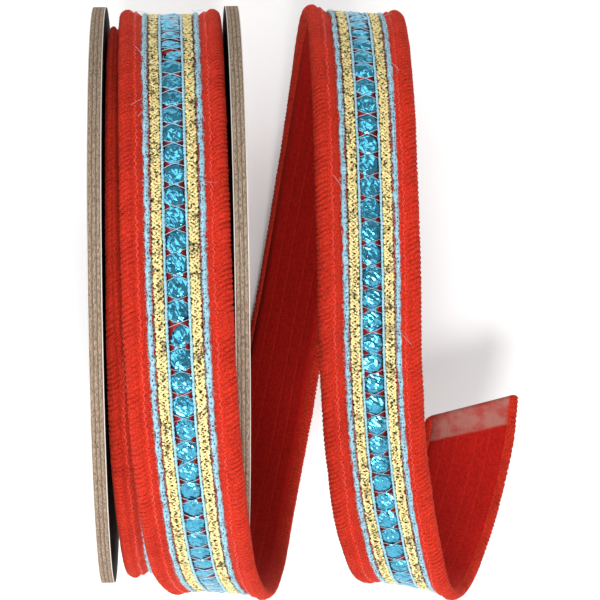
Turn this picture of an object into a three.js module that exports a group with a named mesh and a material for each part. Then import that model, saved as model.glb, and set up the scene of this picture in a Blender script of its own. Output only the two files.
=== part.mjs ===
// A spool of wired ribbon: two die-cut chipboard flanges on a board core, the wound ribbon between
// them, and its loose end, which leaves the top of the roll and stands beside it in two open loops.
// Millimetres, Z up, the spool's axis along X. The ribbon carries a sewn-on trim: a sequin string
// between two gold braids, with a chenille cord along each outer side.

import * as THREE from 'three';

// Spool
const FLANGE_RADIUS = 63.5;
const BOARD = 2.9;
const INNER_WIDTH = 25.8;
const HUB_HOLE_RADIUS = 16;
const CORE_RADIUS = 19;
const CORE_WALL = 1.8;
const REST_FLAT_DEPTH = 0.5;
const GAP = 0.3;
const FLANGE_SEGMENTS = 72;
const HOLE_SEGMENTS = 36;

// Ribbon: flat cloth between two padded edges, heights measured outwards from the middle of the cloth
const CLOTH_UNDER = -0.8;
const CLOTH_TOP = 0.2;
const TRIM_BASE = CLOTH_TOP + GAP;

// Angles are degrees of winding: 0 is the top of the roll, 90 its near side, 180 underneath
const ROLL_STEP_TURN = -210;
const RIBBON_START = ROLL_STEP_TURN + 0.4;
const RIBBON_END = 504.5;
const CUT_SLANT = 0.36;
const STATION_STEP = 7.5;
const SHORTEST_STEP = 2;

// Where the outermost ribbon runs. radius: distance of the cloth from the spool's axis, across: place
// along that axis, lean: turn of the cloth about its own run that takes its right edge outwards.
const RIBBON_COURSE = [
  { turn: -240, radius: 60.1, across: 1, lean: 0 },
  { turn: -120, radius: 60.7, across: 1, lean: 0 },
  { turn: -60, radius: 61.1, across: 1, lean: 0 },
  { turn: -15, radius: 61.4, across: 1.4, lean: 0 },
  { turn: 0, radius: 62.3, across: 1.6, lean: 2 },
  { turn: 15, radius: 65.5, across: 2.1, lean: 4 },
  { turn: 30, radius: 67.2, across: 3, lean: 4 },
  { turn: 60, radius: 67.7, across: 6.3, lean: 4 },
  { turn: 75, radius: 66.2, across: 9, lean: 5 },
  { turn: 90, radius: 64.8, across: 11.6, lean: 4 },
  { turn: 105, radius: 64.9, across: 13.8, lean: 1 },
  { turn: 120, radius: 65, across: 16.3, lean: -6 },
  { turn: 135, radius: 64.6, across: 19.4, lean: -16 },
  { turn: 150, radius: 62.6, across: 23.2, lean: -25 },
  { turn: 165, radius: 58, across: 26.6, lean: -32 },
  { turn: 180, radius: 55.3, across: 29.7, lean: -35 },
  { turn: 210, radius: 56, across: 35, lean: -35 },
  { turn: 240, radius: 61, across: 39.7, lean: -25 },
  { turn: 270, radius: 62.2, across: 41.8, lean: -5 },
  { turn: 300, radius: 53, across: 41.5, lean: -3 },
  { turn: 330, radius: 43, across: 41.2, lean: -5 },
  { turn: 360, radius: 36.5, across: 41.4, lean: -3 },
  { turn: 390, radius: 35.3, across: 41.9, lean: -1 },
  { turn: 420, radius: 43.5, across: 43.6, lean: -2 },
  { turn: 435, radius: 53, across: 46, lean: 5 },
  { turn: 450, radius: 64, across: 50.8, lean: 14 },
  { turn: 465, radius: 65.7, across: 57.5, lean: 8 },
  { turn: 480, radius: 58.5, across: 64.8, lean: -4 },
  { turn: 495, radius: 49.5, across: 69.9, lean: -8 },
  { turn: 510, radius: 40, across: 72.2, lean: -8 },
];

// Ribbon section from the left edge to the right edge, side measured from the middle line
const RIBBON_SECTION = [
  { side: -10.9, top: 0.6, under: -0.3 },
  { side: -10.2, top: 1.6, under: CLOTH_UNDER },
  { side: -8.9, top: 1.95, under: CLOTH_UNDER },
  { side: -7.2, top: 1.5, under: CLOTH_UNDER },
  { side: -6.2, top: CLOTH_TOP, under: CLOTH_UNDER },
  { side: 6.2, top: CLOTH_TOP, under: CLOTH_UNDER },
  { side: 7.2, top: 1.5, under: CLOTH_UNDER },
  { side: 8.9, top: 1.95, under: CLOTH_UNDER },
  { side: 10.2, top: 1.6, under: CLOTH_UNDER },
  { side: 10.9, top: 0.6, under: -0.3 },
];

// Trims sewn on the cloth, left to right
const CHENILLE = { height: 0.7, colour: 0x8fc0d8, roughness: 0.9, metalness: 0 };
const GOLD = { height: 0.5, colour: 0xd8c47c, roughness: 0.35, metalness: 0.7 };
const FOIL = { height: 0.4, colour: 0x3fb0d0, roughness: 0.25, metalness: 0.6 };
const TRIMS = [
  { name: 'chenille_cord_left', from: -5.85, to: -4.85, ...CHENILLE },
  { name: 'gold_braid_left', from: -4.55, to: -2.75, ...GOLD },
  { name: 'sequin_string', from: -2.45, to: 2.45, ...FOIL },
  { name: 'gold_braid_right', from: 2.75, to: 4.55, ...GOLD },
  { name: 'chenille_cord_right', from: 4.85, to: 5.85, ...CHENILLE },
];

// The wound roll under the outermost turn. Radii of its left padded edge, its middle and its right
// padded edge, and how far it has slipped to the right. It ends in a step of one layer, against
// which the outermost turn begins.
const ROLL_LEFT = -12.45;
const ROLL_STEP_RAMP = 1.5;
const ROLL_COURSE = [
  { turn: -240, left: 59.8, middle: 59, right: 59, slip: 0 },
  { turn: -210, left: 59.9, middle: 59.1, right: 59.1, slip: 0 },
  { turn: -120, left: 60.2, middle: 59.6, right: 59.6, slip: 0 },
  { turn: -60, left: 60.5, middle: 59.8, right: 59.9, slip: 0 },
  { turn: -15, left: 60.8, middle: 60, right: 60.1, slip: 0 },
  { turn: 0, left: 61, middle: 60.2, right: 60.3, slip: 0 },
  { turn: 30, left: 61.3, middle: 60.1, right: 61.2, slip: 0 },
  { turn: 60, left: 62, middle: 59.9, right: 61.6, slip: 1 },
  { turn: 90, left: 62.5, middle: 60, right: 61.8, slip: 1.8 },
  { turn: 150, left: 62.7, middle: 60.3, right: 62.2, slip: 2.3 },
  { turn: 180, left: 62.4, middle: 60.4, right: 62.2, slip: 2.4 },
];

// Roll section from left to right: across from its left side, and how far below a named radius
const ROLL_SECTION = [
  { across: 0, radius: 'left', below: 1.7 },
  { across: 0.5, radius: 'left', below: 0.4 },
  { across: 1.5, radius: 'left', below: 0 },
  { across: 2.5, radius: 'left', below: 0.4 },
  { across: 2.7, radius: 'middle', below: 0 },
  { across: 16.6, radius: 'middle', below: 0 },
  { across: 17.6, radius: 'right', below: 0.2 },
  { across: 19.8, radius: 'right', below: 0 },
  { across: 21.3, radius: 'right', below: 0.5 },
  { across: 21.8, radius: 'right', below: 1.7 },
];

const CARD = new THREE.MeshStandardMaterial({ color: 0x9b8773, roughness: 0.9, metalness: 0 });
const FELTED_RED = new THREE.MeshStandardMaterial({ color: 0xc41f10, roughness: 0.85, metalness: 0 });

// Smooth values between the rows of a table, read at any angle
function courseOf(rows) {
  const columns = Object.keys(rows[0]).filter((column) => column !== 'turn');
  const turns = rows.map((row) => row.turn);
  const values = rows.flatMap((row) => columns.map((column) => row[column]));
  const curve = new THREE.CubicInterpolant(turns, values, columns.length);
  return (turn) => {
    const found = curve.evaluate(turn);
    return Object.fromEntries(columns.map((column, index) => [column, found[index]]));
  };
}

const ribbonCourse = courseOf(RIBBON_COURSE);
const rollCourse = courseOf(ROLL_COURSE);

// A point of the winding, seen from the spool's axis
function windingPoint(across, radius, turn) {
  const angle = THREE.MathUtils.degToRad(turn);
  return new THREE.Vector3(across, -radius * Math.sin(angle), radius * Math.cos(angle));
}

function ribbonMiddle(turn) {
  const { radius, across } = ribbonCourse(turn);
  return windingPoint(across, radius, turn);
}

// The cloth's own directions at an angle: side to its right edge, and out of its patterned face
function ribbonFrame(turn) {
  const halfStep = 0.5;
  const along = ribbonMiddle(turn + halfStep).sub(ribbonMiddle(turn - halfStep)).normalize();
  const side = new THREE.Vector3(1, 0, 0).addScaledVector(along, -along.x).normalize();
  side.applyAxisAngle(along, THREE.MathUtils.degToRad(ribbonCourse(turn).lean));
  const out = new THREE.Vector3().crossVectors(along, side);
  return { middle: ribbonMiddle(turn), side, out };
}

// One solid through a row of rings of the same number of points, closed in a circle or with two ends
function loft(rings, outline) {
  const size = rings[0].length;
  const positions = rings.flat().flatMap((point) => [point.x, point.y, point.z]);
  const faces = [];
  const spans = outline ? rings.length - 1 : rings.length;
  for (let span = 0; span < spans; span += 1) {
    const here = span * size;
    const next = ((span + 1) % rings.length) * size;
    for (let point = 0; point < size; point += 1) {
      const after = (point + 1) % size;
      faces.push(here + point, next + after, next + point);
      faces.push(here + point, here + after, next + after);
    }
  }
  if (outline) {
    const last = spans * size;
    for (const [a, b, c] of THREE.ShapeUtils.triangulateShape(outline, [])) {
      faces.push(c, b, a);
      faces.push(last + a, last + b, last + c);
    }
  }
  const geometry = new THREE.BufferGeometry();
  geometry.setAttribute('position', new THREE.Float32BufferAttribute(positions, 3));
  geometry.setIndex(faces);
  geometry.computeVertexNormals();
  return geometry;
}

// The angles at which a strip of ribbon has a ring, shared by all strips so that they nest
function stationsBetween(from, to) {
  const turns = [from];
  const first = Math.ceil((from + SHORTEST_STEP) / STATION_STEP) * STATION_STEP;
  for (let turn = first; turn < to - SHORTEST_STEP; turn += STATION_STEP) {
    turns.push(turn);
  }
  return [...turns, to];
}

function ribbonPoint(turn, sideways, height) {
  const { middle, side, out } = ribbonFrame(turn);
  return middle.addScaledVector(side, sideways).addScaledVector(out, height);
}

// A strip that follows the ribbon, its outline drawn in side and height. The far end is cut aslant.
function followRibbon(outline) {
  const rings = stationsBetween(RIBBON_START, RIBBON_END).map((turn) => {
    const slant = turn === RIBBON_END ? CUT_SLANT : 0;
    return outline.map(({ x, y }) => ribbonPoint(turn + slant * x, x, y));
  });
  return loft(rings, outline);
}

function ribbonOutline() {
  const unders = RIBBON_SECTION.map(({ side, under }) => new THREE.Vector2(side, under));
  const tops = RIBBON_SECTION.map(({ side, top }) => new THREE.Vector2(side, top));
  return [...unders, ...tops.reverse()];
}

function trimOutline({ from, to, height }) {
  return [
    new THREE.Vector2(from, TRIM_BASE),
    new THREE.Vector2(to, TRIM_BASE),
    new THREE.Vector2(to, TRIM_BASE + height),
    new THREE.Vector2(from, TRIM_BASE + height),
  ];
}

function rollRing(turn) {
  const course = rollCourse(turn);
  const left = ROLL_LEFT + course.slip;
  const top = ROLL_SECTION.map(({ across, radius, below }) =>
    windingPoint(left + across, course[radius] - below, turn));
  const width = ROLL_SECTION.at(-1).across;
  const bore = CORE_RADIUS + GAP;
  return [windingPoint(left, bore, turn), windingPoint(left + width, bore, turn), ...top.reverse()];
}

function rollGeometry() {
  const end = ROLL_STEP_TURN + 360 - ROLL_STEP_RAMP;
  const rings = stationsBetween(ROLL_STEP_TURN, end).map(rollRing);
  return loft(rings, null);
}

// A round of board with a hub hole and, where it stands, a short flat on its rim
function flangeGeometry() {
  const flatAngle = Math.acos((FLANGE_RADIUS - REST_FLAT_DEPTH) / FLANGE_RADIUS);
  const rim = new THREE.Shape();
  rim.absarc(0, 0, FLANGE_RADIUS, -Math.PI / 2 + flatAngle, (3 * Math.PI) / 2 - flatAngle, false);
  rim.closePath();
  const hole = new THREE.Path();
  for (let step = 0; step < HOLE_SEGMENTS; step += 1) {
    const angle = (step / HOLE_SEGMENTS) * 2 * Math.PI;
    const [y, z] = [HUB_HOLE_RADIUS * Math.cos(angle), HUB_HOLE_RADIUS * Math.sin(angle)];
    if (step === 0) {
      hole.moveTo(y, z);
    } else {
      hole.lineTo(y, z);
    }
  }
  hole.closePath();
  rim.holes.push(hole);
  const settings = { depth: BOARD, bevelEnabled: false, curveSegments: FLANGE_SEGMENTS };
  return new THREE.ExtrudeGeometry(rim, settings);
}

function coreGeometry() {
  const half = INNER_WIDTH / 2 - GAP;
  const wall = [
    new THREE.Vector2(CORE_RADIUS - CORE_WALL, -half),
    new THREE.Vector2(CORE_RADIUS, -half),
    new THREE.Vector2(CORE_RADIUS, half),
    new THREE.Vector2(CORE_RADIUS - CORE_WALL, half),
    new THREE.Vector2(CORE_RADIUS - CORE_WALL, -half),
  ];
  return new THREE.LatheGeometry(wall, HOLE_SEGMENTS);
}

function part(name, geometry, finish) {
  const mesh = new THREE.Mesh(geometry, finish);
  mesh.name = name;
  return mesh;
}

function buildFlange(name, across) {
  const flange = part(name, flangeGeometry(), CARD);
  flange.rotation.set(Math.PI / 2, Math.PI / 2, 0);
  flange.position.x = across;
  return flange;
}

function buildCore() {
  const core = part('core_tube', coreGeometry(), CARD);
  core.rotation.z = -Math.PI / 2;
  return core;
}

function buildTrim(trim) {
  const { colour, roughness, metalness } = trim;
  const finish = new THREE.MeshStandardMaterial({ color: colour, roughness, metalness });
  return part(trim.name, followRibbon(trimOutline(trim)), finish);
}

const spool = new THREE.Group();
spool.add(buildFlange('flange_left', -INNER_WIDTH / 2 - BOARD));
spool.add(buildFlange('flange_right', INNER_WIDTH / 2));
spool.add(buildCore());
spool.add(part('ribbon_roll', rollGeometry(), FELTED_RED));
spool.add(part('ribbon_loose_end', followRibbon(ribbonOutline()), FELTED_RED));
spool.add(...TRIMS.map(buildTrim));

// The origin is on the surface it stands on, under the middle of the whole object
const group = new THREE.Group();
group.add(spool);
const reach = new THREE.Box3().setFromObject(group, true);
spool.position.set(-(reach.min.x + reach.max.x) / 2, -(reach.min.y + reach.max.y) / 2, -reach.min.z);

export default group;
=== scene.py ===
"""Dresses a spool of wired velvet ribbon: layered board flanges, the wound roll, and the loose end
with its overlocked padded edges, sewn sequins, metallic braids and chenille cords."""

import math

import bpy
import numpy as np
from bpy.props import FloatProperty, FloatVectorProperty, IntProperty, PointerProperty
from bpy.types import Operator, Panel, PropertyGroup
from mathutils import Matrix, Vector


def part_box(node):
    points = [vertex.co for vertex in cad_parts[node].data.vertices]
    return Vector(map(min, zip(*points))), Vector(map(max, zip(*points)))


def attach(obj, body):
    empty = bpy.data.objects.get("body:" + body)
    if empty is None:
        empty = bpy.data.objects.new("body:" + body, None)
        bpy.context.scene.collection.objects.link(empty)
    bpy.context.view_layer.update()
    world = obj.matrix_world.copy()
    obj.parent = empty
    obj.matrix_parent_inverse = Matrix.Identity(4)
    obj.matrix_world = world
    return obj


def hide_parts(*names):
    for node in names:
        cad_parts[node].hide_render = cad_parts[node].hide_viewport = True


bl_info = {
    "name": "Wired Ribbon Roll",
    "version": (1, 0, 0),
    "blender": (4, 5, 0),
    "location": "View3D > Sidebar > Ribbon",
    "description": "Builds a spool of padded velvet ribbon with a sequin and braid trim",
    "category": "Object",
}

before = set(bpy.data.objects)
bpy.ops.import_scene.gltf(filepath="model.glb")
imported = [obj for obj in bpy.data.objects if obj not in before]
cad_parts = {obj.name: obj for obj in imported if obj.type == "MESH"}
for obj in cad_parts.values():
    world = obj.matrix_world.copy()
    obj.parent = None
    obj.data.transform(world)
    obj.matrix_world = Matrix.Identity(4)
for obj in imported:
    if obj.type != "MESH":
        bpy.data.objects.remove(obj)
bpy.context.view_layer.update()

MM = 0.001
TAU = 2 * math.pi

# Spool, in millimetres
FLANGE_RADIUS = 63.5
BOARD = 2.9
CORE_RADIUS = 19.0

# Angles are degrees of winding: 0 is the top of the roll, 90 its near side, 180 underneath
LOOSE_START = -209.6
LOOSE_END = 504.5
CUT_SLANT = 0.36
UNDER_START = -209.0
UNDER_END = 150.0
COURSE_STATIONS = 2400

# Where the outermost ribbon runs: turn, radius from the axis, place along the axis, lean
LOOSE_COURSE = [
    (-240, 60.1, 1, 0),
    (-120, 60.7, 1, 0),
    (-60, 61.1, 1, 0),
    (-15, 61.4, 1.4, 0),
    (0, 62.3, 1.6, 2),
    (15, 65.5, 2.1, 4),
    (30, 67.2, 3, 4),
    (60, 67.7, 6.3, 4),
    (75, 66.2, 9, 5),
    (90, 64.8, 11.6, 4),
    (105, 64.9, 13.8, 1),
    (120, 65, 16.3, -6),
    (135, 64.6, 19.4, -16),
    (150, 62.6, 23.2, -25),
    (165, 58, 26.6, -32),
    (180, 55.3, 29.7, -35),
    (210, 56, 35, -35),
    (240, 61, 39.7, -25),
    (270, 62.2, 41.8, -5),
    (300, 53, 41.5, -3),
    (330, 43, 41.2, -5),
    (360, 36.5, 41.4, -3),
    (390, 35.3, 41.9, -1),
    (420, 43.5, 43.6, -2),
    (435, 53, 46, 5),
    (450, 64, 50.8, 14),
    (465, 65.7, 57.5, 8),
    (480, 58.5, 64.8, -4),
    (495, 49.5, 69.9, -8),
    (510, 40, 72.2, -8),
]

# The turn under it: turn, radius of its cloth, place along the axis, lean
UNDER_COURSE = [
    (-240, 56.9, -1.55, 0),
    (-210, 57, -1.55, 0),
    (-120, 57.3, -1.55, 0),
    (-60, 57.5, -1.55, 0),
    (-15, 57.9, -1.55, 0),
    (0, 58.2, -1.55, 0),
    (30, 59.1, -1.55, 0),
    (60, 60, -0.3, 0),
    (90, 60.6, 0.8, 0),
    (150, 60.9, 1.4, 0),
    (180, 60.5, 1.5, 0),
]

# Padded edge, right hand: side from the ribbon's middle, height, how far the thread ribs stand
EDGE_SECTION = [
    (5.2, -0.6, 0),
    (6.8, -0.65, 0),
    (8.3, -0.72, 0),
    (9.2, -0.78, 0),
    (9.6, -0.9, 0.6),
    (10.3, -0.55, 1),
    (10.75, -0.1, 1),
    (10.9, 0.5, 1),
    (10.7, 1.1, 1),
    (10.2, 1.6, 1),
    (9.6, 1.9, 1),
    (8.9, 1.95, 1),
    (8.35, 1.65, 0.8),
    (8.0, 1.25, 0.3),
    (7.6, 1.4, 0.5),
    (7.2, 1.32, 0.5),
    (6.7, 0.9, 0.3),
    (6.1, 0.45, 0.1),
    (5.2, 0.05, 0),
]
RIBBON_WIDTH = 21.8
RIBBON_HALF = RIBBON_WIDTH / 2
CLOTH_HALF = 8.8
CLOTH_UNDER = -0.8
CLOTH_TOP = 0.2
TRIM_BASE = 0.3
STITCH_SIDE = 7.45
STITCH_LENGTH = 1.5
SEWING_ROWS = (-5.2, -2.2, 2.2, 5.2)
CUT_ROUNDING = 1.4
GLUE_BAND = 6.6

# On the free loops the trim sits this far to the right, from one turn to another
TRIM_DRIFT = 0.55
DRIFT_TURNS = (200, 310)

PLAIT_STRANDS = 4
PLAIT_PERIOD = 3.3

# Wound body: layers that show on its ends, its depth under the cloth, and its two sides
ROLL_LAYERS = 16
ROLL_DEPTH = 0.85
ROLL_LEFT = -10.6
ROLL_RIGHT = 10.4

SIDES = ((-1, "left"), (1, "right"))


def spool_centre():
    """The middle of the spool's axis, in millimetres."""
    left_low, left_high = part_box("flange_left")
    right_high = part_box("flange_right")[1]
    x = (left_low.x + right_high.x) / 2 / MM
    y = (left_low.y + left_high.y) / 2 / MM
    z = left_high.z / MM - FLANGE_RADIUS
    return np.array([x, y, z])


CENTRE = spool_centre()


def unit(vectors):
    return vectors / np.linalg.norm(vectors, axis=-1, keepdims=True)


def eased(t):
    return t * t * (3 - 2 * t)


def course_of(rows):
    """Smooth values between the rows of a table, read at any array of turns."""
    table = np.array(rows, float)
    turns, values = table[:, 0], table[:, 1:]
    secants = np.diff(values, axis=0) / np.diff(turns)[:, None]
    slopes = np.vstack([secants[:1], (secants[:-1] + secants[1:]) / 2, secants[-1:]])

    def at(turn):
        row = np.clip(np.searchsorted(turns, turn, side="right") - 1, 0, len(turns) - 2)
        span = (turns[row + 1] - turns[row])[:, None]
        t = (turn[:, None] - turns[row][:, None]) / span
        start = (2 * t**3 - 3 * t**2 + 1) * values[row]
        start += (t**3 - 2 * t**2 + t) * span * slopes[row]
        end = (3 * t**2 - 2 * t**3) * values[row + 1]
        end += (t**3 - t**2) * span * slopes[row + 1]
        return start + end

    return at


def middle_line(course, turn):
    radius, across, _ = course(turn).T
    angle = np.radians(turn)
    return np.stack([across, -radius * np.sin(angle), radius * np.cos(angle)], axis=1)


class Run:
    """A stretch of ribbon, read by the distance along it in millimetres."""

    def __init__(self, rows, start, end, slant=0.0):
        course = course_of(rows)
        turn = np.linspace(start, end, COURSE_STATIONS)
        middle = middle_line(course, turn)
        along = unit(middle_line(course, turn + 0.5) - middle_line(course, turn - 0.5))
        side = unit(np.array([1.0, 0, 0]) - along * along[:, :1])
        lean = np.radians(course(turn)[:, 2:3])
        side = side * np.cos(lean) + np.cross(along, side) * np.sin(lean)
        steps = np.linalg.norm(np.diff(middle, axis=0), axis=1)
        self.distance = np.concatenate([[0], np.cumsum(steps)])
        self.length = float(self.distance[-1])
        self.turn = turn
        self.middle, self.along, self.side = middle, along, side
        last_degree = (self.distance[-1] - self.distance[-40]) / (turn[-1] - turn[-40])
        self.slant = slant * last_degree

    def _read(self, rows, distance):
        return np.stack([np.interp(distance, self.distance, rows[:, i]) for i in range(3)], 1)

    def turn_at(self, distance):
        return np.interp(distance, self.distance, self.turn)

    def distance_at(self, turn):
        return float(np.interp(turn, self.turn, self.distance))

    def place(self, distance, sideways, height):
        """Points (n, m, 3) in metres at n distances, each with m places across and heights."""
        middle = self._read(self.middle, distance)[:, None]
        along = unit(self._read(self.along, distance))[:, None]
        side = unit(self._read(self.side, distance))[:, None]
        out = np.cross(along, side)
        near_cut = np.clip((distance - self.length + 20) / 12, 0, 1)[:, None, None]
        sideways, height = sideways[..., None], height[..., None]
        points = middle + side * sideways + out * height
        points = points + along * (self.slant * sideways * near_cut)
        return (points + CENTRE) * MM


LOOSE = Run(LOOSE_COURSE, LOOSE_START, LOOSE_END, CUT_SLANT)
UNDER = Run(UNDER_COURSE, UNDER_START, UNDER_END)


def smooth_random(count, spacing, rng):
    """Smoothly wandering values between -1 and 1."""
    knots = rng.uniform(-1, 1, int(count / spacing) + 3)
    place = np.arange(count) / spacing
    whole = place.astype(int)
    t = eased(place - whole)
    return knots[whole] * (1 - t) + knots[whole + 1] * t


# Mesh making


def grid_faces(rings, size, closed=True, capped=True):
    """Quads of a strip of rings, and its two end faces."""
    ring = np.arange(rings - 1)[:, None] * size
    point = np.arange(size if closed else size - 1)[None, :]
    after = (point + 1) % size
    quads = np.stack(
        [ring + point, ring + after, ring + size + after, ring + size + point], axis=-1
    ).reshape(-1, 4)
    ends = []
    if capped:
        last = (rings - 1) * size
        ends = [list(range(size - 1, -1, -1)), list(range(last, last + size))]
    return quads, ends


def mesh_object(name, points, quads, ends=(), smooth=True, values=None):
    """An object from arrays of points and faces, with named values kept on its points."""
    points = np.asarray(points, np.float32).reshape(-1, 3)
    mesh = bpy.data.meshes.new(name)
    sizes = [quads.shape[1]] * len(quads) + [len(end) for end in ends]
    corners = np.concatenate([quads.ravel(), *[np.array(end) for end in ends]])
    mesh.vertices.add(len(points))
    mesh.vertices.foreach_set("co", points.ravel())
    mesh.loops.add(len(corners))
    mesh.loops.foreach_set("vertex_index", corners.astype(np.int32))
    mesh.polygons.add(len(sizes))
    starts = np.concatenate([[0], np.cumsum(sizes)[:-1]])
    mesh.polygons.foreach_set("loop_start", starts.astype(np.int32))
    mesh.update(calc_edges=True)
    mesh.polygons.foreach_set("use_smooth", np.full(len(sizes), smooth))
    for key, data in (values or {}).items():
        attribute = mesh.attributes.new(key, "FLOAT", "POINT")
        attribute.data.foreach_set("value", np.asarray(data, np.float32).ravel())
    obj = bpy.data.objects.new(name, mesh)
    bpy.context.scene.collection.objects.link(obj)
    return obj


def joined(parts):
    """One set of points and faces from several with faces of the same size."""
    points, quads, base = [], [], 0
    for part_points, part_quads in parts:
        part_points = part_points.reshape(-1, 3)
        points.append(part_points)
        quads.append(part_quads + base)
        base += len(part_points)
    return np.concatenate(points), np.concatenate(quads)


def finish_piece(obj, finish, slot, *nodes):
    obj.data.materials.append(finish)
    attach(obj, "root")
    if nodes:
        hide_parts(*nodes)
    return obj


def add_piece(name, parts, finish, slot, *nodes, smooth=True):
    """One piece from several meshes, with its finish and the solids that it stands for."""
    return finish_piece(mesh_object(name, *joined(parts), smooth=smooth), finish, slot, *nodes)


def stations(run, step, start=0.0, end=None):
    end = run.length if end is None else end
    return np.linspace(start, end, max(2, int(round((end - start) / step)) + 1))


# Shader nodes


def add_node(tree, kind, inputs=None, **settings):
    """A node with its settings and its inputs; an input may be a value or another socket."""
    made = tree.nodes.new(kind)
    for key, value in settings.items():
        setattr(made, key, value)
    for key, value in (inputs or {}).items():
        socket = made.inputs[key]
        if isinstance(value, bpy.types.NodeSocket):
            tree.links.new(value, socket)
        else:
            socket.default_value = value
    return made


def maths(tree, operation, first, second=0.0, clamp=False):
    made = add_node(tree, "ShaderNodeMath", {0: first, 1: second}, operation=operation)
    made.use_clamp = clamp
    return made.outputs[0]


def mixed(tree, factor, first, second):
    made = add_node(tree, "ShaderNodeMix", {"Factor": factor}, data_type="RGBA")
    for index, value in ((6, first), (7, second)):
        if isinstance(value, bpy.types.NodeSocket):
            tree.links.new(value, made.inputs[index])
        else:
            made.inputs[index].default_value = value
    return made.outputs[2]


def ramped(tree, value, low, high, to_low=0.0, to_high=1.0):
    inputs = {"Value": value, "From Min": low, "From Max": high, "To Min": to_low, "To Max": to_high}
    return add_node(tree, "ShaderNodeMapRange", inputs).outputs["Result"]


def noise(tree, place, scale, detail=2.0, roughness=0.5):
    inputs = {"Vector": place, "Scale": scale, "Detail": detail, "Roughness": roughness}
    return add_node(tree, "ShaderNodeTexNoise", inputs).outputs["Fac"]


def object_place(tree):
    return tree.nodes.new("ShaderNodeTexCoord").outputs["Object"]


def socket_name(key):
    return key.replace("_", " ").title()


def new_group(name, **inputs):
    """A node group that gives a colour and a height, its inputs named with their defaults."""
    tree = bpy.data.node_groups.new(name, "ShaderNodeTree")
    sockets = [("OUTPUT", "Colour", (0, 0, 0, 1)), ("OUTPUT", "Height", 0.0)]
    sockets += [("INPUT", socket_name(key), default) for key, default in inputs.items()]
    for way, label, default in sockets:
        kind = "NodeSocketColor" if isinstance(default, tuple) else "NodeSocketFloat"
        made = tree.interface.new_socket(name=label, in_out=way, socket_type=kind)
        made.default_value = default
    return tree, tree.nodes.new("NodeGroupInput"), tree.nodes.new("NodeGroupOutput")


def soft_nap_group():
    """Short pile: cloudy shade, fine fibres and their height."""
    if "Soft nap" in bpy.data.node_groups:
        return bpy.data.node_groups["Soft nap"]
    tree, given, result = new_group(
        "Soft nap",
        colour=(1, 0, 0, 1),
        deep_colour=(0.4, 0, 0, 1),
        fibre_scale=2600.0,
        cloud_scale=120.0,
    )
    place = object_place(tree)
    fibres = noise(tree, place, given.outputs["Fibre Scale"], 3.0, 0.7)
    clouds = noise(tree, place, given.outputs["Cloud Scale"])
    clouded = maths(tree, "MULTIPLY", clouds, 0.35)
    shade = maths(tree, "ADD", ramped(tree, fibres, 0.36, 0.64, 0, 0.75), clouded)
    colour = mixed(tree, shade, given.outputs["Deep Colour"], given.outputs["Colour"])
    tree.links.new(colour, result.inputs["Colour"])
    tree.links.new(fibres, result.inputs["Height"])
    return tree


def crinkle_group():
    """Crinkled foil: small facets and brushed lines of height, and a mottle of darker specks."""
    if "Foil crinkle" in bpy.data.node_groups:
        return bpy.data.node_groups["Foil crinkle"]
    tree, given, result = new_group(
        "Foil crinkle",
        colour=(1, 1, 1, 1),
        dark_colour=(0, 0, 0, 1),
        scale=1800.0,
        speck_scale=1800.0,
        darkness=0.4,
        brush=0.0,
    )
    place = object_place(tree)
    turned = add_node(tree, "ShaderNodeMapping", {"Vector": place, "Rotation": (0.3, 0.2, 0.45)})
    facets = add_node(
        tree,
        "ShaderNodeTexVoronoi",
        {"Vector": turned.outputs["Vector"], "Scale": given.outputs["Scale"]},
        distance="CHEBYCHEV",
    ).outputs["Distance"]
    lines = add_node(
        tree,
        "ShaderNodeTexWave",
        {"Vector": place, "Scale": 420.0, "Distortion": 1.5, "Detail Scale": 4.0},
        bands_direction="DIAGONAL",
    ).outputs["Fac"]
    # Darker mottle: painted dark reflection on the sequins, the dark specks of the gold braid
    specks = noise(tree, place, given.outputs["Speck Scale"], 1.0)
    blotches = noise(tree, place, 420.0, 1.0)
    specks = maths(tree, "ADD", specks, ramped(tree, blotches, 0.3, 0.7, -0.06, 0.06))
    blotted = ramped(tree, blotches, 0.56, 0.7, 0, 0.45)
    darkened = maths(tree, "MAXIMUM", ramped(tree, specks, 0.57, 0.63), blotted)
    mask = maths(tree, "MULTIPLY", darkened, given.outputs["Darkness"])
    colour = mixed(tree, mask, given.outputs["Colour"], given.outputs["Dark Colour"])
    tree.links.new(colour, result.inputs["Colour"])
    brushed = maths(tree, "MULTIPLY", lines, given.outputs["Brush"])
    tree.links.new(maths(tree, "ADD", facets, brushed), result.inputs["Height"])
    return tree


def new_material(name):
    material = bpy.data.materials.new(name)
    material.use_nodes = True
    tree = material.node_tree
    shader = tree.nodes["Principled BSDF"]
    return material, tree, shader


def use_group(tree, group, **inputs):
    made = tree.nodes.new("ShaderNodeGroup")
    made.node_tree = group
    for key, value in inputs.items():
        socket = made.inputs[socket_name(key)]
        if isinstance(value, bpy.types.NodeSocket):
            tree.links.new(value, socket)
        else:
            socket.default_value = value
    return made


def soft_nap(tree, colour, deep, **scales):
    group = soft_nap_group()
    return use_group(tree, group, colour=solid(colour), deep_colour=solid(deep), **scales)


def set_inputs(shader, **values):
    for key, value in values.items():
        shader.inputs[key.replace("_", " ")].default_value = value


def bumped(tree, shader, height, strength, distance):
    inputs = {"Height": height, "Strength": strength, "Distance": distance}
    bump = add_node(tree, "ShaderNodeBump", inputs)
    tree.links.new(bump.outputs["Normal"], shader.inputs["Normal"])


def solid(colour):
    return (*colour, 1.0)


def kept_value(tree, name):
    return add_node(tree, "ShaderNodeAttribute", attribute_name=name).outputs["Fac"]


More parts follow.
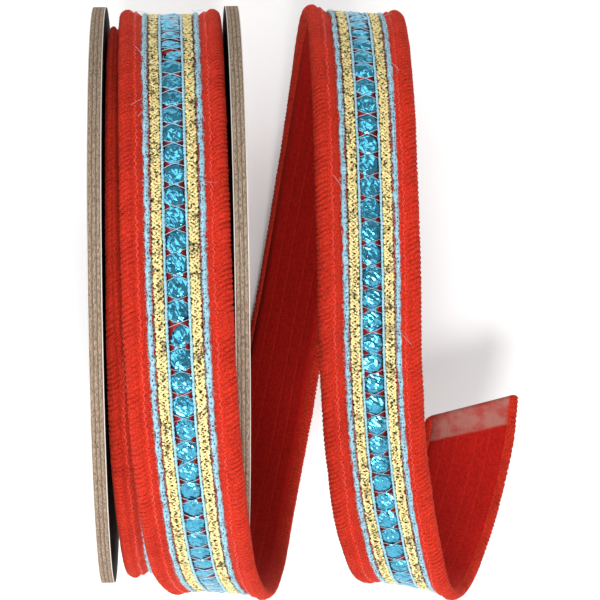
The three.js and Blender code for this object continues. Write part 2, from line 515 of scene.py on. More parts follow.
def velvet_finish(name, colour, deep, sheen=0.2):
    material, tree, shader = new_material(name)
    nap = soft_nap(tree, colour, deep)
    tree.links.new(nap.outputs["Colour"], shader.inputs["Base Color"])
    bumped(tree, shader, nap.outputs["Height"], 0.55, 0.0003)
    set_inputs(shader, Roughness=0.85, Specular_IOR_Level=0.1)
    set_inputs(shader, Sheen_Weight=sheen, Sheen_Roughness=0.4, Sheen_Tint=(1, 0.2, 0.1, 1))
    return material


def edge_finish(colours):
    """Overlock thread: fine fibres run round the padded edge, and the grooves are painted a deeper red
    as shade.
    """
    material, tree, shader = new_material("Overlocked edge thread")
    groove_shade = kept_value(tree, "groove_shade")
    nap = soft_nap(tree, colours.velvet, colours.velvet_deep, fibre_scale=3400.0)
    groove_shade = maths(tree, "MULTIPLY", groove_shade, 1.0, clamp=True)
    # Painted shade: the grooves between the threads take the deep colour
    colour = mixed(tree, groove_shade, nap.outputs["Colour"], solid(colours.velvet_deep))
    tree.links.new(colour, shader.inputs["Base Color"])
    bumped(tree, shader, nap.outputs["Height"], 0.8, 0.0004)
    set_inputs(shader, Roughness=0.8, Specular_IOR_Level=0.12)
    set_inputs(shader, Sheen_Weight=0.2, Sheen_Roughness=0.35, Sheen_Tint=(1, 0.22, 0.12, 1))
    return material


def cloth_finish(colours, length):
    """Velvet on the patterned face; smooth dark red with stitch lines and a glue band behind."""
    material, tree, shader = new_material("Ribbon cloth")
    nap = soft_nap(tree, colours.velvet, colours.velvet_deep)
    behind_nap = soft_nap(
        tree, colours.back, colours.back_deep, fibre_scale=1500.0, cloud_scale=70.0
    )
    across, along, behind = (kept_value(tree, name) for name in ("across", "along", "behind"))
    # Sewing rows seen from behind, each a broken paler line
    rows = None
    for row in SEWING_ROWS:
        gap = maths(tree, "ABSOLUTE", maths(tree, "SUBTRACT", across, row))
        line = ramped(tree, gap, 0.0, 0.35, 1.0, 0.0)
        rows = line if rows is None else maths(tree, "MAXIMUM", rows, line)
    dashes = maths(tree, "SINE", maths(tree, "MULTIPLY", along, 2.6))
    rows = maths(tree, "MULTIPLY", rows, ramped(tree, dashes, -0.8, 0.8, 0.5, 1))
    faint = maths(tree, "MULTIPLY", rows, 0.24)
    stitched = mixed(tree, faint, behind_nap.outputs["Colour"], solid(colours.stitch))
    glue_edge = noise(tree, object_place(tree), 330.0)
    slanted = maths(tree, "ADD", along, maths(tree, "MULTIPLY", glue_edge, 0.8))
    glue = ramped(tree, slanted, length - GLUE_BAND, length - GLUE_BAND + 0.6)
    thin = ramped(tree, glue_edge, 0.4, 0.62, 0.85, 0.35)
    glued = mixed(tree, maths(tree, "MULTIPLY", glue, thin), stitched, solid(colours.glue))
    colour = mixed(tree, behind, nap.outputs["Colour"], glued)
    tree.links.new(colour, shader.inputs["Base Color"])
    height = maths(tree, "ADD", nap.outputs["Height"], maths(tree, "MULTIPLY", rows, -0.8))
    bumped(tree, shader, height, 0.5, 0.0003)
    set_inputs(shader, Roughness=0.8, Specular_IOR_Level=0.12)
    set_inputs(shader, Sheen_Weight=0.12, Sheen_Roughness=0.4, Sheen_Tint=(1, 0.2, 0.1, 1))
    return material


def yarn_finish(name, colour, deep):
    material, tree, shader = new_material(name)
    nap = soft_nap(tree, colour, deep, fibre_scale=2100.0, cloud_scale=500.0)
    tree.links.new(nap.outputs["Colour"], shader.inputs["Base Color"])
    bumped(tree, shader, nap.outputs["Height"], 0.5, 0.00015)
    set_inputs(shader, Roughness=0.7, Sheen_Weight=0.3, Specular_IOR_Level=0.3)
    return material


def metallic_finish(name, colour, dark, roughness, metallic, bump, **crinkle):
    material, tree, shader = new_material(name)
    foil = use_group(
        tree, crinkle_group(), colour=solid(colour), dark_colour=solid(dark), **crinkle
    )
    tree.links.new(foil.outputs["Colour"], shader.inputs["Base Color"])
    bumped(tree, shader, foil.outputs["Height"], 1.0, bump)
    set_inputs(shader, Metallic=metallic, Roughness=roughness)
    return material


def board_finish(name, colours, low):
    """Layered chipboard seen on the rim, its faces covered with black paper cut flush."""
    material, tree, shader = new_material(name)
    place = object_place(tree)
    across = add_node(tree, "ShaderNodeSeparateXYZ", {0: place}).outputs["X"]
    depth = ramped(tree, across, low * MM, (low + BOARD) * MM)
    wander = maths(tree, "SUBTRACT", noise(tree, place, 160.0, 3.0), 0.5)
    swing = maths(tree, "MULTIPLY", wander, 0.12)
    wandered = maths(tree, "ADD", depth, swing)
    plies = maths(tree, "SINE", maths(tree, "MULTIPLY", wandered, 22.0))
    ply_mask = ramped(tree, plies, 0.35, 1.0, 0.0, 0.85)
    squeezed = add_node(tree, "ShaderNodeMapping", {"Vector": place, "Scale": (3.0, 1.0, 1.0)})
    grit = noise(tree, squeezed.outputs["Vector"], 1400.0, 4.0, 0.75)
    raw = mixed(tree, ramped(tree, grit, 0.35, 0.65), solid(colours.board_dark), solid(colours.board))
    layered = mixed(tree, ply_mask, raw, solid(colours.board_dark))
    from_face = maths(tree, "MINIMUM", depth, maths(tree, "SUBTRACT", 1.0, depth))
    fray = maths(tree, "MULTIPLY", maths(tree, "SUBTRACT", grit, 0.5), 0.06)
    frayed = maths(tree, "ADD", from_face, fray)
    paper_edge = ramped(tree, frayed, 0.05, 0.075, 1.0, 0.0)
    rim = mixed(tree, paper_edge, layered, solid(colours.paper_edge))
    normal = tree.nodes.new("ShaderNodeNewGeometry").outputs["True Normal"]
    facing = add_node(tree, "ShaderNodeSeparateXYZ", {0: normal}).outputs["X"]
    facing = maths(tree, "ABSOLUTE", facing)
    on_face = ramped(tree, facing, 0.6, 0.8)
    rubbed = ramped(tree, grit, 0.4, 0.7)
    paper = mixed(tree, rubbed, solid(colours.black_paper), solid(colours.black_paper_worn))
    tree.links.new(mixed(tree, on_face, rim, paper), shader.inputs["Base Color"])
    tree.links.new(ramped(tree, on_face, 0, 1, 0.9, 0.6), shader.inputs["Roughness"])
    height = maths(tree, "ADD", grit, maths(tree, "MULTIPLY", plies, -0.5))
    height = maths(tree, "MULTIPLY", height, ramped(tree, on_face, 0, 1, 1.0, 0.12))
    bumped(tree, shader, height, 0.6, 0.0002)
    set_inputs(shader, IOR=1.08)
    return material


def core_finish(colours):
    """Spiral-wound board: the paper's seam runs round the tube."""
    material, tree, shader = new_material("Core board")
    place = object_place(tree)
    grit = noise(tree, place, 900.0, 4.0, 0.7)
    raw = mixed(tree, ramped(tree, grit, 0.3, 0.7), solid(colours.board_dark), solid(colours.board))
    bands = add_node(
        tree,
        "ShaderNodeTexWave",
        {"Vector": place, "Scale": 38.0, "Distortion": 0.4},
        bands_direction="X",
    ).outputs["Fac"]
    seam = ramped(tree, bands, 0.0, 0.08, 0.5, 0.0)
    tree.links.new(mixed(tree, seam, raw, solid(colours.board_dark)), shader.inputs["Base Color"])
    bumped(tree, shader, grit, 0.4, 0.0002)
    set_inputs(shader, Roughness=0.88)
    return material


# Ribbon pieces


def edge_mesh(name, run, hand, look, seed, step=0.25, inner_width=None):
    """A padded edge wrapped in overlock thread. hand is 1 on the right and -1 on the left."""
    rng = np.random.default_rng(seed)
    pitch = look.rib_pitch / MM
    distance = stations(run, step)
    section = np.array(EDGE_SECTION, float)
    side, height, weight = section.T
    ahead = np.roll(section[:, :2], -1, axis=0) - np.roll(section[:, :2], 1, axis=0)
    normal = unit(np.stack([ahead[:, 1], -ahead[:, 0]], axis=1))
    count = len(distance)
    slope = np.stack([smooth_random(count, 11, rng) for _ in range(3)], 1) * 0.2
    slope = np.stack([np.interp(side, (5, 8.5, 11), row) for row in slope])
    slant = look.rib_slant * (side - 8) * hand / pitch
    phase = distance[:, None] / pitch + slant[None] + slope + 8
    rib = np.abs(np.sin(np.pi * phase)) ** 0.6
    strength = rng.uniform(0.35, 1.1, int(phase.max()) + 2)[phase.astype(int)]
    depth = look.rib_depth / MM
    lumps = smooth_random(count, 30, rng)[:, None] * 0.07
    wool = rng.normal(0, look.wool / MM, (count, len(section)))
    push = (depth * strength * (rib - 1) + lumps + wool) * weight[None]
    sides = side[None] + push * normal[None, :, 0]
    heights = height[None] + push * normal[None, :, 1]
    if inner_width is not None:
        keep = inner_width(run.turn_at(distance))[:, None]
        sides = RIBBON_HALF - (RIBBON_HALF - sides) * keep
        heights = heights - (1 - keep) * 0.3 * (heights > 0.8)
    if run.slant:
        # Rounded off at the cut end
        past = np.clip((distance - run.length + CUT_ROUNDING) / CUT_ROUNDING, 0, 1)[:, None]
        pinch = np.sqrt(1 - 0.9 * past**2)
        sides = CLOTH_HALF + (sides - CLOTH_HALF) * np.where(sides > CLOTH_HALF, pinch, 1)
        heights = CLOTH_TOP + (heights - CLOTH_TOP) * pinch
    sides = sides * hand
    # grooves marks where painted shade goes: a deeper red in the grooves between the overlock threads
    grooves = (1 - rib) * strength * weight[None]
    if hand < 0:
        sides, heights, grooves = sides[:, ::-1], heights[:, ::-1], grooves[:, ::-1]
    points = run.place(distance, sides, heights)
    quads, ends = grid_faces(count, len(section))
    return mesh_object(name, points, quads, ends, values={"groove_shade": grooves})


def cloth_mesh(name, run, start=0.0, end=None):
    """The flat cloth between the padded edges, front and back."""
    distance = stations(run, 1.2, start, end)
    across = np.linspace(-CLOTH_HALF, CLOTH_HALF, 13)
    section_side = np.concatenate([across, across[::-1]])
    behind = np.concatenate([np.ones(13), np.zeros(13)])
    crown = np.where(behind > 0.5, CLOTH_UNDER, CLOTH_TOP)
    count = len(distance)
    sides = np.repeat(section_side[None], count, 0)
    heights = np.repeat(crown[None], count, 0)
    rng = np.random.default_rng(11)
    ripple = smooth_random(count, 9, rng)[:, None] * 0.05 * (1 - (section_side / 9) ** 2)[None]
    points = run.place(distance, sides, heights + ripple * (behind > 0.5)[None])
    quads, ends = grid_faces(count, 26)
    values = {
        "across": sides,
        "along": np.repeat(distance[:, None], 26, 1),
        "behind": np.repeat(behind[None], count, 0),
    }
    return mesh_object(name, points, quads, ends, values=values)


def tube_strip(run, distance, side, height, half_width, half_height, corners):
    """A tube along the ribbon whose middle wanders across and up, one value a station."""
    angle = np.linspace(0, TAU, corners, endpoint=False)
    sides = side[:, None] + half_width * np.cos(angle)[None]
    heights = height[:, None] + half_height * np.sin(angle)[None]
    points = run.place(distance, sides, heights)
    quads, _ = grid_faces(len(distance), corners, capped=False)
    caps = []
    for first, step in ((0, -1), ((len(distance) - 1) * corners, 1)):
        ring = first + np.arange(corners)[::step]
        for index in range(1, corners - 2, 2):
            caps.append([ring[0], *ring[index : index + 3]])
    return points, np.concatenate([quads, np.array(caps)])


def drift(run, distance):
    """How far the trim sits to the right of the ribbon's middle, on the free loops."""
    low, high = DRIFT_TURNS
    return TRIM_DRIFT * eased(np.clip((run.turn_at(distance) - low) / (high - low), 0, 1))


def zigzag_thread(run, hand, seed, start=0.0, end=None):
    """The stitch line beside a padded edge."""
    rng = np.random.default_rng(seed)
    distance = stations(run, 0.4, start, end)
    phase = TAU * distance / STITCH_LENGTH
    swing = 0.22 * np.sin(phase) + smooth_random(len(distance), 5, rng) * 0.16
    side = hand * (STITCH_SIDE + swing)
    height = 1.33 + 0.1 * np.cos(2 * phase) + smooth_random(len(distance), 7, rng) * 0.06
    return tube_strip(run, distance, side, height, 0.1, 0.07, 4)


def plaited_braid(run, middle, width, seed, start=0.0, end=None):
    """Four flat metal strands plaited over a dark ground."""
    rng = np.random.default_rng(seed)
    distance = stations(run, 0.42, start, end)
    count = len(distance)
    strands = []
    for strand in range(PLAIT_STRANDS):
        phase = TAU * (distance / PLAIT_PERIOD + strand / PLAIT_STRANDS)
        phase = phase + smooth_random(count, 6, rng) * 0.45
        side = middle + drift(run, distance) + (width / 2 - 0.34) * np.sin(phase)
        side = side + smooth_random(count, 4, rng) * 0.07
        height = TRIM_BASE + 0.36 + 0.17 * np.cos(2 * phase + strand)
        height = height + rng.uniform(-0.05, 0.05, count)
        strands.append(tube_strip(run, distance, side, height, 0.36, 0.13, 6))
    return joined(strands)


def cards(corners):
    """Flat pieces of four corners each, from the rows of their first, second, third and fourth."""
    points = np.concatenate(corners, axis=1).reshape(-1, 3)
    return points, np.arange(len(points)).reshape(-1, 4)


def fuzz(run, middle, root, reach, density, seed, start=0.0, end=None, base=0.35, width=0.07):
    """Short fibres standing off a cord or a padded edge, each one thin blade. root is the half
    width and half height of what they grow from."""
    rng = np.random.default_rng(seed)
    end = run.length if end is None else end
    count = int((end - start) * density)
    distance = np.sort(rng.uniform(start + 0.5, end - 0.5, count))
    angle = rng.uniform(-0.2, math.pi + 0.2, count)
    tip_angle = angle + rng.normal(0, 0.35, count)
    growth = reach * rng.uniform(0.15, 1, count) ** 1.5
    lean = rng.normal(0, 0.6, count) * growth
    middle_side = middle + drift(run, distance) * (abs(middle) < 6)
    blades = []
    for shift, tip in ((-0.5, 0), (0.5, 0), (0.25, 1), (-0.25, 1)):
        turned = tip_angle if tip else angle
        sides = middle_side + np.cos(turned) * (root[0] + tip * growth)
        heights = TRIM_BASE + base + np.sin(turned) * (root[1] + tip * growth)
        places = distance + lean * tip + shift * width
        blades.append(run.place(places, sides[:, None], heights[:, None]))
    return cards(blades)


def linked_chain(run, middle, seed, start=0.0, end=None):
    """A thin chain of yarn: each link swells and narrows to a dark gap."""
    rng = np.random.default_rng(seed)
    distance = stations(run, 0.28, start, end)
    count = len(distance)
    swell = np.abs(np.sin(np.pi * distance / 0.95 + smooth_random(count, 9, rng) * 0.4))
    half = 0.16 + (0.17 + 0.06 * smooth_random(count, 5, rng)) * swell**0.7
    side = middle + drift(run, distance) + 0.06 * smooth_random(count, 6, rng)
    height = np.full(count, TRIM_BASE + 0.42)
    return tube_strip(run, distance, side, height, half[:, None], half[:, None] * 0.8, 5)


def needle_hole_shade(run, side, height, pitch, seed, start=0.0, end=None):
    """Painted shade of the needle holes through a cord: dark spots, each one flat diamond."""
    rng = np.random.default_rng(seed)
    end = run.length if end is None else end
    middle = np.arange(start + 1, end - 1, pitch)
    middle = middle + rng.normal(0, 0.12, len(middle))
    across = side + drift(run, middle) + rng.normal(0, 0.09, len(middle))
    size = rng.uniform(0.09, 0.2, len(middle))
    corners = []
    for ahead, sideways in ((-1, 0), (0, 1), (1, 0), (0, -1)):
        sides = (across + sideways * size)[:, None]
        heights = np.full_like(sides, height)
        corners.append(run.place(middle + ahead * size * 1.2, sides, heights))
    return cards(corners)


def chenille_core(run, middle, seed, start=0.0, end=None):
    """The lumpy body of a chenille cord, thick and thin by turns."""
    rng = np.random.default_rng(seed)
    distance = stations(run, 0.28, start, end)
    count = len(distance)
    half = 0.5 + 0.16 * smooth_random(count, 3, rng) + 0.06 * rng.uniform(-1, 1, count)
    side = middle + drift(run, distance) + 0.13 * smooth_random(count, 5, rng)
    height = TRIM_BASE + 0.36 + 0.06 * smooth_random(count, 3, rng)
    return tube_strip(run, distance, side, height, half[:, None], half[:, None] * 0.75, 7)


# Sequin outline: share of the radius, height in millimetres
SEQUIN_SECTION = [(0.0, 0.53), (0.4, 0.49), (0.74, 0.31), (1.0, 0.04)]
SEQUIN_FACETS = 8


def sequin_row(run, look, seed, start=0.0, end=None):
    """Faceted foil discs, each tipped and turned a little from the next."""
    rng = np.random.default_rng(seed)
    end = run.length if end is None else end
    pitch, radius = look.sequin_pitch / MM, look.sequin_size / MM / 2
    middles = np.arange(start + pitch / 2, end - radius, pitch)
    angle = np.linspace(0, TAU, SEQUIN_FACETS, endpoint=False)
    discs = []
    for middle in middles:
        turned = angle + math.pi / SEQUIN_FACETS + rng.normal(0, 0.06)
        tip_along, tip_side = rng.normal(0, 0.07, 2)
        rings = []
        for share, height in SEQUIN_SECTION:
            ring_radius = max(share * radius, 0.02)
            shift = math.pi / SEQUIN_FACETS if 0.5 < share < 0.9 else 0
            s = ring_radius * np.cos(turned + shift)
            w = ring_radius * np.sin(turned + shift) * 0.9
            crease = rng.uniform(-0.13, 0.13, SEQUIN_FACETS) * (0.3 < share < 0.9)
            h = TRIM_BASE + 0.1 + height + crease + tip_along * s + tip_side * w
            side = w + drift(run, np.array([middle]))[0]
            distance = np.clip(middle + s, 0, run.length)
            rings.append(run.place(distance, side[:, None], h[:, None])[:, 0])
        points = np.array(rings)
        quads, _ = grid_faces(len(rings), SEQUIN_FACETS, capped=False)
        discs.append((points, quads))
    return joined(discs), middles


def crossing_threads(run, middles, half_width, seed):
    """Two pale threads cross over the join of each two sequins."""
    rng = np.random.default_rng(seed)
    joins = (middles[:-1] + middles[1:]) / 2
    threads = []
    for join in joins:
        for hand in (-1, 1):
            t = np.linspace(-1, 1, 7)
            reach = 0.9 + rng.normal(0, 0.12)
            distance = join + reach * t * hand + rng.normal(0, 0.05)
            side = half_width * t + drift(run, np.array([join]))[0]
            height = TRIM_BASE + 0.2 + 0.28 * (1 - t**2)
            threads.append(tube_strip(run, distance, side, height, 0.12, 0.09, 4))
    return joined(threads)


def stray_fibres(run, seed, count):
    """A few long pale fibres pulled out of the cords."""
    rng = np.random.default_rng(seed)
    fibres = []
    for _ in range(count):
        hand = rng.choice([-1, 1])
        root = rng.uniform(5, run.length - 12)
        length = rng.uniform(2.0, 5.5)
        t = np.linspace(0, 1, 7)
        curl = rng.uniform(-1.5, 1.5)
        outwards = rng.uniform(-0.4, 1.6)
        distance = root + length * t * rng.choice([-1, 1]) * rng.uniform(0.3, 1) + curl * t * t
        distance = np.clip(distance, 0.5, run.length - 0.5)
        side = hand * (5.2 + outwards * length * 0.5 * t) + drift(run, distance)
        height = TRIM_BASE + 0.9 + 1.6 * t * (1 - 0.6 * t) * rng.uniform(0.4, 1.1)
        fibres.append(tube_strip(run, distance, side, height, 0.035, 0.035, 4))
    return joined(fibres)


def roll_mesh(name):
    """The wound body: flat on top, with the edges of its turns showing on both ends."""
    turn = np.linspace(UNDER_START, UNDER_START + 360, 181)[:-1]
    read = course_of(UNDER_COURSE)
    radius, across, _ = read(np.clip(turn, UNDER_START, UNDER_END)).T
    inner = CORE_RADIUS + 0.35
    share = np.linspace(0, 1, ROLL_LAYERS * 4 + 1)
    bulge = 0.35 * np.abs(np.sin(np.pi * ROLL_LAYERS * share)) - 0.2
    rings = []
    for index, angle in enumerate(np.radians(turn)):
        top = radius[index] - ROLL_DEPTH
        r = inner + (top - inner) * share
        left = across[index] * share + ROLL_LEFT - bulge
        right = across[index] * share + ROLL_RIGHT + bulge
        x = np.concatenate([left[::-1], right])
        rr = np.concatenate([r[::-1], r])
        rings.append(np.stack([x, -rr * math.sin(angle), rr * math.cos(angle)], axis=1))
    points = (np.array(rings) + CENTRE) * MM
    size = points.shape[1]
    quads, _ = grid_faces(len(rings) + 1, size, capped=False)
    quads = quads % (len(rings) * size)
    return mesh_object(name, points, quads)


# Settings a user would change


def length_property(name, description, default, lowest=0.0):
    return FloatProperty(
        name=name, description=description, default=default, min=lowest, unit="LENGTH"
    )


class RibbonSizes(PropertyGroup):
    """Sizes of the ribbon's sewn details."""

    rib_pitch: length_property(
        "Rib Pitch", "Overlock thread spacing on the padded edges", 0.00105, 0.0006
    )
    rib_depth: length_property(
        "Rib Depth", "How deep the grooves between overlock threads are", 0.0004
    )
    rib_slant: FloatProperty(
        name="Rib Slant",
        description="How far a thread runs along the edge for its run across it",
        default=0.45,
    )
    wool: length_property("Wool", "Roughness of the padded edges", 0.00003)
    sequin_pitch: length_property(
        "Sequin Pitch", "Distance from one sequin to the next", 0.00465, 0.003
    )
    sequin_size: length_property("Sequin Size", "Diameter of a sequin", 0.00515, 0.002)
    braid_width: length_property("Braid Width", "Width of each metallic braid", 0.0023, 0.001)
    braid_place: length_property(
        "Braid Place", "Distance of each braid from the ribbon's middle", 0.00362
    )
    cord_place: length_property(
        "Cord Place", "Distance of each chenille cord from the ribbon's middle", 0.00548
    )
    chain_place: length_property(
        "Chain Place", "Distance of each thin chain from the ribbon's middle", 0.00228
    )
    fibre_count: IntProperty(
        name="Stray Fibres", description="Number of long loose fibres", default=70, min=0,
    )


def colour_property(name, description, default):
    return FloatVectorProperty(
        name=name, description=description, default=default, size=3, min=0, max=1, subtype="COLOR"
    )


class RibbonColours(PropertyGroup):
    """Colours of the pieces."""

    velvet: colour_property("Velvet", "Lit pile of the ribbon", (0.88, 0.046, 0.018))
    velvet_deep: colour_property("Velvet Deep", "Shade between the fibres", (0.20, 0.005, 0.003))
    back: colour_property("Back", "Back of the cloth", (0.50, 0.010, 0.005))
    back_deep: colour_property("Back Deep", "Darker patches of the back", (0.27, 0.004, 0.003))
    stitch: colour_property("Stitch", "Sewing thread on the red cloth", (0.70, 0.032, 0.014))
    glue: colour_property("Glue", "Dried glue along the cut end", (0.40, 0.17, 0.14))
    chenille: colour_property("Chenille", "Light blue cords", (0.43, 0.67, 0.76))
    chenille_deep: colour_property("Chenille Deep", "Shade within the cords", (0.12, 0.36, 0.47))
    gold: colour_property("Gold", "Metallic braid", (0.88, 0.73, 0.33))
    gold_dark: colour_property("Gold Dark", "Ground between the braid's strands", (0.06, 0.035, 0.012))
    foil: colour_property("Foil", "Sequins", (0.075, 0.36, 0.52))
    # Painted dark reflection: darker patches in the sequins' colour, laid by noise rather than by
    # creases
    foil_reflection_dark: colour_property("Foil Dark", "Creases of the sequins", (0.004, 0.055, 0.115))
    thread: colour_property("Thread", "Threads over the sequins", (0.50, 0.58, 0.66))
    board: colour_property("Board", "Chipboard", (0.46, 0.35, 0.255))
    board_dark: colour_property("Board Dark", "Darker plies of the chipboard", (0.11, 0.078, 0.055))
    paper_edge: colour_property("Paper Edge", "Cut edge of the facing paper", (0.66, 0.60, 0.54))
    black_paper: colour_property("Black Paper", "Facing paper", (0.012, 0.010, 0.010))
    black_paper_worn: colour_property("Paper Worn", "Paper where it is rubbed", (0.035, 0.030, 0.028))


def power_property(name, description, default):
    return FloatProperty(name=name, description=description, default=default, unit="POWER")


class StageLook(PropertyGroup):
    """Floor, lights and camera."""

    floor: colour_property("Floor", "Colour of the floor", (0.97, 0.97, 0.97))
    key_power: power_property("Key Power", "Large softbox on the near side", 9.0)
    fill_power: power_property("Fill Power", "Softbox on the left", 4.5)
    glint_power: power_property("Glint Power", "Small light that makes the foil glint", 7.5)
    back_power: power_property("Back Power", "Softbox on the far side", 5.0)
    sky: FloatProperty(name="Sky", description="Strength of the even light", default=0.46, min=0)
    lens: FloatProperty(
        name="Lens", description="Focal length for a 36 mm wide sensor, in millimetres", default=135.786
    )


SETTINGS = {
    "ribbon_sizes": RibbonSizes,
    "ribbon_colours": RibbonColours,
    "ribbon_stage": StageLook,
}


# Operators


class RIBBON_OT_boards(Operator):
    """Finish the board flanges and the core"""

    bl_idname = "ribbon.boards"
    bl_label = "Boards"

    def execute(self, context):
        colours = context.scene.ribbon_colours
        for name in ("flange_left", "flange_right"):
            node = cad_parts[name]
            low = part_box(name)[0].x / MM
            node.data.materials.clear()
            node.data.materials.append(board_finish(f"Board {name}", colours, low))
            bevel = node.modifiers.new("worn corners", "BEVEL")
            bevel.width = 0.00022
            bevel.segments = 2
            bevel.limit_method = "ANGLE"
            bevel.angle_limit = math.radians(50)
        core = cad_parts["core_tube"]
        core.data.materials.clear()
        core.data.materials.append(core_finish(colours))
        return {"FINISHED"}


def under_edge_width(turn):
    """How much of the under turn's left edge shows from under the outermost turn."""
    return 0.6 + 0.4 * eased(np.clip((turn + 4) / 34, 0, 1))


class RIBBON_OT_roll(Operator):
    """Wind the roll under the loose end"""

    bl_idname = "ribbon.roll"
    bl_label = "Wound Roll"

    def execute(self, context):
        sizes = context.scene.ribbon_sizes
        colours = context.scene.ribbon_colours
        edge = bpy.data.materials.get("Overlocked edge thread") or edge_finish(colours)
        velvet = velvet_finish("Roll velvet", colours.velvet, colours.velvet_deep)
        finish_piece(roll_mesh("wound_roll"), velvet, "ribbon_cloth", "ribbon_roll")
        cloth = cloth_mesh("under_turn_cloth", UNDER)
        finish_piece(cloth, velvet, "ribbon_cloth")
        for hand, name in SIDES:
            width = under_edge_width if hand < 0 else None
            piece = edge_mesh(
                f"under_turn_edge_{name}", UNDER, hand, sizes, 40 + hand, 0.35, width
            )
            finish_piece(piece, edge, "ribbon_cloth")
        return {"FINISHED"}


class RIBBON_OT_loose_end(Operator):
    """Lay the loose ribbon with its padded edges"""

    bl_idname = "ribbon.loose_end"
    bl_label = "Loose Ribbon"

    def execute(self, context):
        sizes = context.scene.ribbon_sizes
        colours = context.scene.ribbon_colours
        cloth = cloth_mesh("ribbon_cloth", LOOSE)
        finish_piece(cloth, cloth_finish(colours, LOOSE.length), "ribbon_cloth", "ribbon_loose_end")
        edge = bpy.data.materials.get("Overlocked edge thread") or edge_finish(colours)
        for hand, name in SIDES:
            piece = edge_mesh(f"padded_edge_{name}", LOOSE, hand, sizes, 20 + hand)
            finish_piece(piece, edge, "ribbon_cloth")
        rows = []
        for run, start in ((LOOSE, 0), (UNDER, UNDER.distance_at(5))):
            for hand, _ in SIDES:
                rows.append(zigzag_thread(run, hand, 30 + hand, start))
        fibres = []
        for hand, _ in SIDES:
            padded = hand * 9.3
            fibres.append(fuzz(LOOSE, padded, (1.45, 1.2), 0.45, 14.0, 35 + hand, base=0.1))
        wool = add_piece("edge_wool", fibres, edge, "ribbon_cloth")
        thread = yarn_finish("Sewing thread", colours.stitch, colours.velvet)
        stitches = add_piece("edge_stitches", rows, thread, "ribbon_cloth")
        return {"FINISHED"}


def trim_stretches():
    """The stretches of ribbon on which the trim shows."""
    return [(LOOSE, 0.3, LOOSE.length - 0.15), (UNDER, UNDER.distance_at(10), UNDER.length)]


class RIBBON_OT_trims(Operator):
    """Sew on the braids, cords and chains"""

    bl_idname = "ribbon.trims"
    bl_label = "Braids and Cords"

    def execute(self, context):
        sizes = context.scene.ribbon_sizes
        colours = context.scene.ribbon_colours
        gold = metallic_finish(
            "Gold braid",
            colours.gold,
            colours.gold_dark,
            roughness=0.35,
            metallic=0.45,
            bump=0.00016,
            scale=2600.0,
            speck_scale=1750.0,
            darkness=0.95,
        )
        ground = velvet_finish("Braid ground", colours.gold_dark, (0.03, 0.02, 0.01), 0.0)
        yarn = yarn_finish("Chenille", colours.chenille, colours.chenille_deep)
        # Needle holes: near-black cards painted as the shade inside the holes
        hole = velvet_finish("Needle hole shade", (0.03, 0.07, 0.10), (0.015, 0.02, 0.03), 0.0)
        for hand, name in SIDES:
            braid = hand * sizes.braid_place / MM
            cord = hand * sizes.cord_place / MM
            braids, grounds, cords, hairs, holes = [], [], [], [], []
            for run, start, end in trim_stretches():
                width = sizes.braid_width / MM
                braids.append(plaited_braid(run, braid, width, 50 + hand, start, end))
                distance = stations(run, 1.5, start, end)
                flat = braid + drift(run, distance)
                level = np.full(len(distance), TRIM_BASE + 0.08)
                grounds.append(tube_strip(run, distance, flat, level, 1.1, 0.12, 4))
                cords.append(chenille_core(run, cord, 60 + hand, start, end))
                hairs.append(fuzz(run, cord, (0.5, 0.35), 0.5, 22.0, 70 + hand, start, end))
                # Painted shade of the needle holes, in two rows along each cord
                for place, level, seed in ((cord - hand * 0.42, 1.02, 74), (cord + 0.05, 1.22, 76)):
                    holes.append(needle_hole_shade(run, place, level, 0.95, seed + hand, start, end))
            add_piece(f"gold_plait_{name}", braids, gold, "gold_braid", f"gold_braid_{name}")
            add_piece(f"braid_ground_{name}", grounds, ground, "gold_braid")
            cord_node = f"chenille_cord_{name}"
            add_piece(f"chenille_strands_{name}", cords, yarn, "chenille", cord_node)
            add_piece(f"chenille_fuzz_{name}", hairs, yarn, "chenille")
            add_piece(f"chenille_hole_shade_{name}", holes, hole, "chenille")
        return {"FINISHED"}


class RIBBON_OT_sequins(Operator):
    """Sew on the sequins with their chains and crossing threads"""

    bl_idname = "ribbon.sequins"
    bl_label = "Sequins"

    def execute(self, context):
        sizes = context.scene.ribbon_sizes
        colours = context.scene.ribbon_colours
        # Sequin foil: its darker mottle is painted dark reflection
        foil = metallic_finish(
            "Sequin foil",
            colours.foil,
            colours.foil_reflection_dark,
            roughness=0.13,
            metallic=1.0,
            bump=0.00042,
            scale=360.0,
            speck_scale=900.0,
            darkness=0.42,
            brush=0.12,
        )
        pale = yarn_finish("Crossing thread", colours.thread, colours.chenille)
        yarn = bpy.data.materials.get("Chenille") or yarn_finish(
            "Chenille", colours.chenille, colours.chenille_deep
        )
        tape = velvet_finish("Sequin tape", (0.60, 0.035, 0.03), (0.16, 0.01, 0.012), 0.0)
        discs, threads, chains, tapes = [], [], [], []
        half = sizes.chain_place / MM
        for run, start, end in trim_stretches():
            row, middles = sequin_row(run, sizes, 80, start, end)
            discs.append(row)
            threads.append(crossing_threads(run, middles, half, 81))
            distance = stations(run, 1.5, start, end)
            level = np.full(len(distance), TRIM_BASE)
            tapes.append(tube_strip(run, distance, drift(run, distance), level, 2.2, 0.1, 4))
            for hand, _ in SIDES:
                chains.append(linked_chain(run, hand * half, 82 + hand, start, end))
        add_piece("sequins", discs, foil, "sequins", "sequin_string", smooth=False)
        add_piece("sequin_tape", tapes, tape, "sequins")
        add_piece("sequin_threads", threads, pale, "chenille")
        add_piece("sequin_chains", chains, yarn, "chenille")
        fibres = [stray_fibres(LOOSE, 90, sizes.fibre_count)]
        add_piece("stray_fibres", fibres, pale, "chenille")
        return {"FINISHED"}


# The camera, in millimetres from the spool's middle
CAMERA_PLACE = (2.071, -35.204, 503.441)
CAMERA_AIM = (28.942, -1.766, 0.266)
CAMERA_ROLL = 1.05


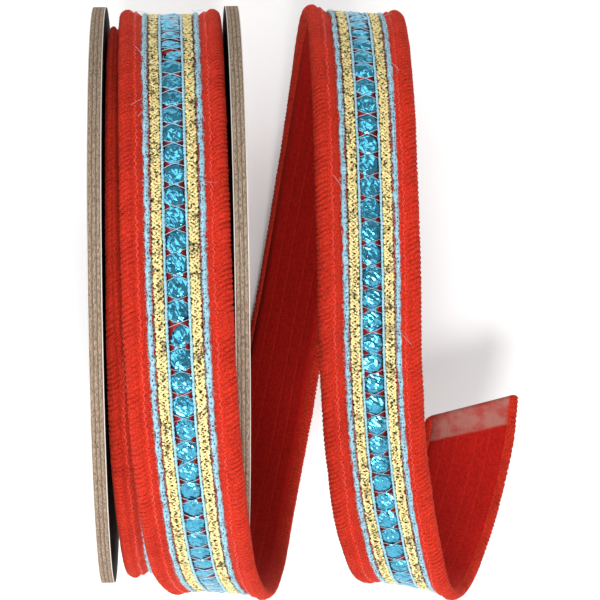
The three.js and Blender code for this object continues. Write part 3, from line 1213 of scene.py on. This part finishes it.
def soft_light(name, place, power, width, height, aim=(0.02, 0, 0.05)):
    data = bpy.data.lights.new(name, "AREA")
    data.shape = "RECTANGLE"
    data.size = width
    data.size_y = height
    data.energy = power
    light = bpy.data.objects.new(name, data)
    light.location = place
    light.rotation_mode = "QUATERNION"
    light.rotation_quaternion = (Vector(aim) - Vector(place)).to_track_quat("-Z", "Y")
    bpy.context.scene.collection.objects.link(light)


class RIBBON_OT_stage(Operator):
    """Set the floor, the soft light and the camera"""

    bl_idname = "ribbon.stage"
    bl_label = "Stage"

    def execute(self, context):
        scene = context.scene
        look = scene.ribbon_stage
        corners = np.array([(-3, -3, 0), (3, -3, 0), (3, 3, 0), (-3, 3, 0)], float)
        floor = mesh_object("floor", corners, np.array([[0, 1, 2, 3]]), smooth=False)
        floor.location.z = -0.0002
        material, _, shader = new_material("Pale floor")
        set_inputs(shader, Base_Color=solid(look.floor), Roughness=0.9, Specular_IOR_Level=0.1)
        floor.data.materials.append(material)

        soft_light("near softbox", (-0.1, -1.0, 0.65), look.key_power, 2.1, 1.4)
        soft_light("glint light", (-0.05, -0.62, 0.95), look.glint_power, 0.35, 0.3)
        soft_light("left softbox", (-0.85, 0.1, 0.8), look.fill_power, 0.8, 0.8)
        soft_light("far softbox", (0.25, 0.75, 1.0), look.back_power, 1.0, 0.7)
        world = bpy.data.worlds.new("Even light")
        world.use_nodes = True
        background = world.node_tree.nodes["Background"]
        set_inputs(background, Color=(1, 1, 1, 1), Strength=look.sky)
        scene.world = world
        scene.view_settings.view_transform = "Standard"

        centre = Vector(CENTRE) * MM
        place = centre + Vector(CAMERA_PLACE) * MM
        ahead = (centre + Vector(CAMERA_AIM) * MM - place).normalized()
        right = ahead.cross(Vector((0, 1, 0))).normalized()
        right.rotate(Matrix.Rotation(math.radians(CAMERA_ROLL), 3, ahead))
        upward = right.cross(ahead)
        data = bpy.data.cameras.new("photo camera")
        data.sensor_width = 36
        data.lens = look.lens
        data.clip_start = 0.01
        camera = bpy.data.objects.new("photo camera", data)
        turned = Matrix((right, upward, -ahead)).transposed()
        camera.matrix_world = Matrix.Translation(place) @ turned.to_4x4()
        scene.collection.objects.link(camera)
        scene.camera = camera
        return {"FINISHED"}


class RIBBON_PT_panel(Panel):
    """Lists the pieces of the ribbon roll and their settings"""

    bl_label = "Ribbon Roll"
    bl_idname = "RIBBON_PT_panel"
    bl_space_type = "VIEW_3D"
    bl_region_type = "UI"
    bl_category = "Ribbon"

    def draw(self, context):
        layout = self.layout
        for step in STEPS:
            layout.operator(step.bl_idname)
        for key, group in SETTINGS.items():
            box = layout.box()
            settings = getattr(context.scene, key)
            for name in group.__annotations__:
                box.prop(settings, name)


STEPS = (
    RIBBON_OT_boards,
    RIBBON_OT_roll,
    RIBBON_OT_loose_end,
    RIBBON_OT_trims,
    RIBBON_OT_sequins,
    RIBBON_OT_stage,
)
CLASSES = (*SETTINGS.values(), *STEPS, RIBBON_PT_panel)


def register():
    for cls in CLASSES:
        bpy.utils.register_class(cls)
    for key, group in SETTINGS.items():
        setattr(bpy.types.Scene, key, PointerProperty(type=group))


def unregister():
    for key in SETTINGS:
        delattr(bpy.types.Scene, key)
    for cls in reversed(CLASSES):
        bpy.utils.unregister_class(cls)


def main():
    register()
    bpy.ops.ribbon.boards()
    bpy.ops.ribbon.roll()
    bpy.ops.ribbon.loose_end()
    bpy.ops.ribbon.trims()
    bpy.ops.ribbon.sequins()
    bpy.ops.ribbon.stage()


if __name__ == "__main__":
    main()
